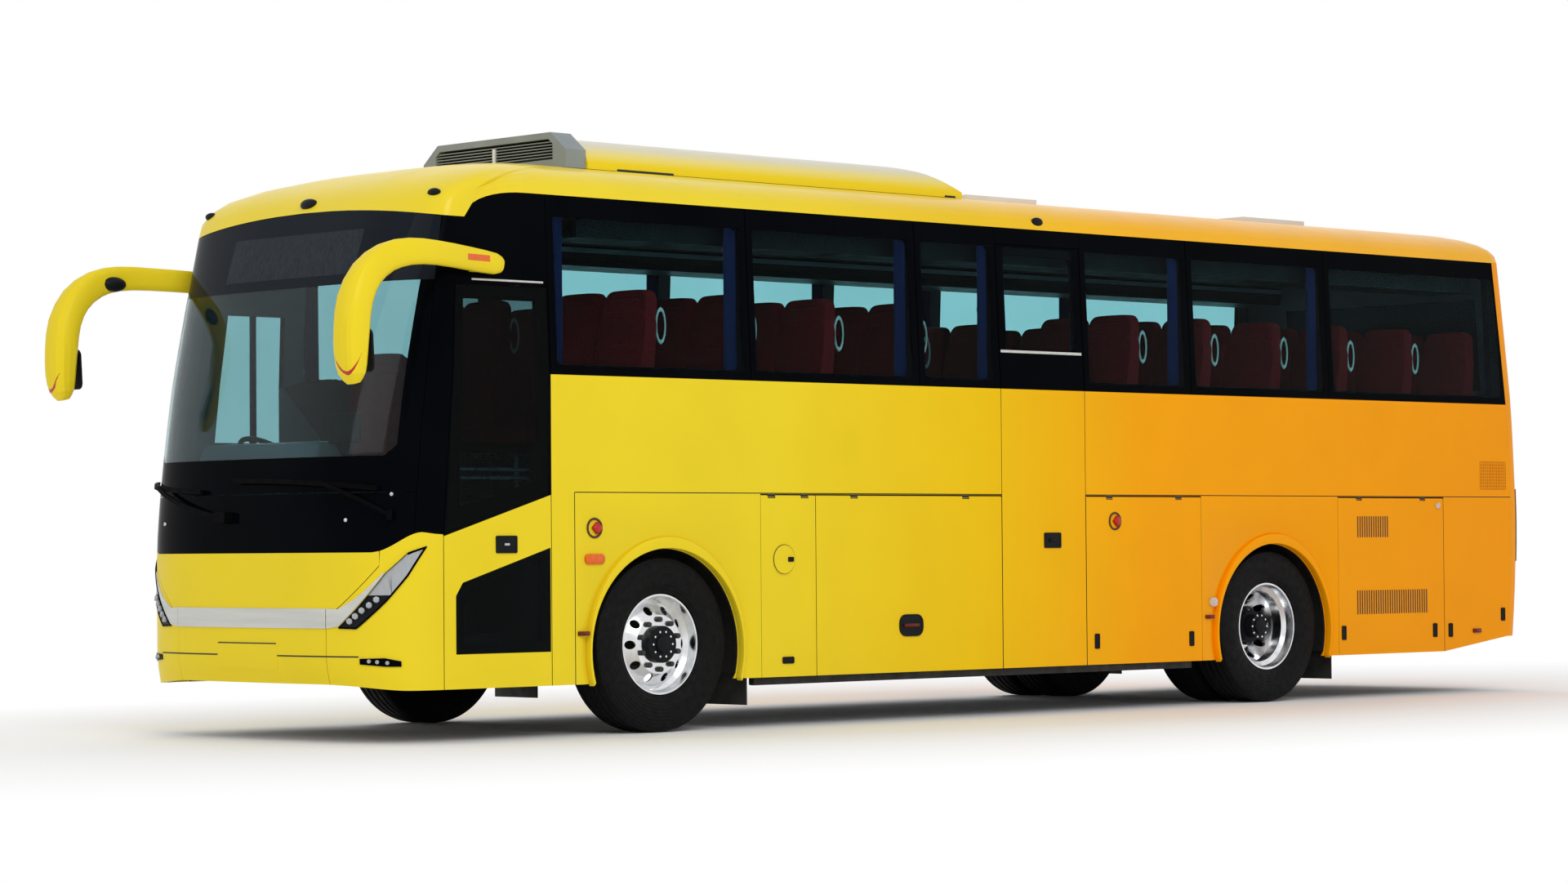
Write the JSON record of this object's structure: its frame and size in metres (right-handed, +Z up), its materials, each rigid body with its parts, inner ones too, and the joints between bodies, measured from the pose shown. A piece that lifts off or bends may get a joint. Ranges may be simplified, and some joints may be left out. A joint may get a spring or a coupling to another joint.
{
  "type": "airport passenger bus",
  "caption": "High-floor passenger coach with a raked front, right-hand driving position, swing-out doors on the left, side luggage flaps, roof air conditioner and steered front wheels",
  "frame": {"origin": "on the road, midway along the length over the mirrors and midway across", "axes": "+X forward, +Y to the bus's left, where its doors are, +Z up"},
  "size_m": [11.1499, 3.044, 3.6],
  "materials": {
    "paint": "gloss",
    "black_panel": "gloss",
    "tinted_glass": "gloss",
    "silver_trim": "satin",
    "lamp_clear": "gloss",
    "lamp_red": "gloss",
    "lamp_amber": "gloss",
    "mirror": "polished",
    "grey_plastic": "matte",
    "white_plastic": "matte",
    "steel": "satin",
    "seat_fabric": "matte",
    "curtain": "matte",
    "chassis": "satin",
    "floor": "matte",
    "cast": "rough",
    "tyre": "matte",
    "rim": "polished"
  },
  "bodies": {
    "body": {"underframe": "chassis", "floor_deck": "floor", "side_wall_left": "paint", "side_wall_right": "paint", "roof_shell": "paint", "front_mask": "paint", "cowl_panel": "black_panel", "pillars": "black_panel", "rear_wall": "paint", "windscreen": "tinted_glass", "side_glass": "tinted_glass", "rear_glass": "tinted_glass", "front_trim": "silver_trim", "headlamps": "lamp_clear", "tail_lamps": "lamp_red", "side_lamps": "lamp_amber", "mirrors": "paint", "mirror_glass": "mirror", "wipers": "black_panel", "ac_cover": "paint", "ac_intake": "grey_plastic", "dashboard": "grey_plastic", "steering_wheel": "black_panel", "seat_frames": "steel", "seat_cushions": "seat_fabric", "seat_backs": "seat_fabric", "parcel_racks": "grey_plastic", "curtains": "curtain", "luggage_bay": "floor", "wheel_housings": "black_panel", "engine_block": "cast", "front_axle": "cast", "rear_axle": "cast"},
    "front_door_arm": {"front_door_arm": "steel"},
    "front_door": {"front_door": "paint", "front_door_glass": "tinted_glass"},
    "mid_door_arm": {"mid_door_arm": "steel"},
    "mid_door": {"mid_door": "paint", "mid_door_glass": "tinted_glass"},
    "filler_flap": {"filler_flap": "paint"},
    "luggage_door_left": {"luggage_door_left": "paint"},
    "service_flap": {"service_flap": "paint"},
    "engine_flap_left": {"engine_flap_left": "paint"},
    "luggage_door_right_front": {"luggage_door_right_front": "paint"},
    "luggage_door_right_rear": {"luggage_door_right_rear": "paint"},
    "engine_flap_right": {"engine_flap_right": "paint"},
    "engine_lid": {"engine_lid": "paint"},
    "roof_hatch_front": {"roof_hatch_front": "white_plastic"},
    "roof_hatch_rear": {"roof_hatch_rear": "white_plastic"},
    "knuckle_left": {"knuckle_left": "cast"},
    "knuckle_right": {"knuckle_right": "cast"},
    "wheel_front_left": {"tyre_front_left": "tyre", "rim_front_left": "rim"},
    "wheel_front_right": {"tyre_front_right": "tyre", "rim_front_right": "rim"},
    "wheels_rear_left": {"tyres_rear_left": "tyre", "rims_rear_left": "rim"},
    "wheels_rear_right": {"tyres_rear_right": "tyre", "rims_rear_right": "rim"}
  },
  "joints": [
    {"name": "steer_left", "type": "hinge", "parent": "body", "child": "knuckle_left", "pos_m": [3.025, 0.93, 0.52], "axis": [0, 0, 1], "range_deg": [-40, 40]},
    {"name": "steer_right", "type": "hinge", "parent": "body", "child": "knuckle_right", "pos_m": [3.025, -0.93, 0.52], "axis": [0, 0, 1], "range_deg": [-40, 40]},
    {"name": "roll_front_left", "type": "hinge", "parent": "knuckle_left", "child": "wheel_front_left", "pos_m": [3.025, 1.058, 0.522], "axis": [0, 1, 0], "continuous": true},
    {"name": "roll_front_right", "type": "hinge", "parent": "knuckle_right", "child": "wheel_front_right", "pos_m": [3.025, -1.058, 0.522], "axis": [0, 1, 0], "continuous": true},
    {"name": "roll_rear_left", "type": "hinge", "parent": "body", "child": "wheels_rear_left", "pos_m": [-2.595, 0.8905, 0.522], "axis": [0, 1, 0], "continuous": true},
    {"name": "roll_rear_right", "type": "hinge", "parent": "body", "child": "wheels_rear_right", "pos_m": [-2.595, -0.8905, 0.522], "axis": [0, 1, 0], "continuous": true},
    {"name": "front_door_swing", "type": "hinge", "parent": "body", "child": "front_door_arm", "pos_m": [4.565, 1.12, 1.2], "axis": [0, 0, -1], "range_deg": [0, 120]},
    {"name": "front_door_level", "type": "hinge", "parent": "front_door_arm", "child": "front_door", "pos_m": [4.065, 1.12, 1.2], "axis": [0, 0, -1], "range_deg": [-120, 0]},
    {"name": "mid_door_swing", "type": "hinge", "parent": "body", "child": "mid_door_arm", "pos_m": [0.03, 1.12, 1.2], "axis": [0, 0, -1], "range_deg": [0, 120]},
    {"name": "mid_door_level", "type": "hinge", "parent": "mid_door_arm", "child": "mid_door", "pos_m": [-0.47, 1.12, 1.2], "axis": [0, 0, -1], "range_deg": [-120, 0]},
    {"name": "filler_flap_hinge", "type": "hinge", "parent": "body", "child": "filler_flap", "pos_m": [2.0375, 1.2405, 1.4], "axis": [-1, 0, 0], "range_deg": [-95, 0]},
    {"name": "luggage_door_left_hinge", "type": "hinge", "parent": "body", "child": "luggage_door_left", "pos_m": [0.9725, 1.2405, 1.4], "axis": [-1, 0, 0], "range_deg": [-95, 0]},
    {"name": "service_flap_hinge", "type": "hinge", "parent": "body", "child": "service_flap", "pos_m": [-1.245, 1.2405, 1.4], "axis": [-1, 0, 0], "range_deg": [-95, 0]},
    {"name": "engine_flap_left_hinge", "type": "hinge", "parent": "body", "child": "engine_flap_left", "pos_m": [-3.9025, 1.2405, 1.4], "axis": [-1, 0, 0], "range_deg": [-95, 0]},
    {"name": "luggage_door_right_front_hinge", "type": "hinge", "parent": "body", "child": "luggage_door_right_front", "pos_m": [1.2462, -1.2405, 1.4], "axis": [1, 0, 0], "range_deg": [-95, 0]},
    {"name": "luggage_door_right_rear_hinge", "type": "hinge", "parent": "body", "child": "luggage_door_right_rear", "pos_m": [-0.8013, -1.2405, 1.4], "axis": [1, 0, 0], "range_deg": [-95, 0]},
    {"name": "engine_flap_right_hinge", "type": "hinge", "parent": "body", "child": "engine_flap_right", "pos_m": [-3.9025, -1.2405, 1.4], "axis": [1, 0, 0], "range_deg": [-95, 0]},
    {"name": "engine_lid_hinge", "type": "hinge", "parent": "body", "child": "engine_lid", "pos_m": [-5.5553, 0, 1.56], "axis": [0, -1, 0], "range_deg": [-80, 0]},
    {"name": "roof_hatch_front_hinge", "type": "hinge", "parent": "body", "child": "roof_hatch_front", "pos_m": [-0.543, 0, 3.4073], "axis": [0, 1, 0], "range_deg": [0, 40]},
    {"name": "roof_hatch_rear_hinge", "type": "hinge", "parent": "body", "child": "roof_hatch_rear", "pos_m": [-3.433, 0, 3.4073], "axis": [0, 1, 0], "range_deg": [0, 40]}
  ],
  "couplings": [
    {"joint": "steer_right", "follows": "steer_left", "ratio": 1},
    {"joint": "front_door_level", "follows": "front_door_swing", "ratio": -1},
    {"joint": "mid_door_level", "follows": "mid_door_swing", "ratio": -1}
  ]
}
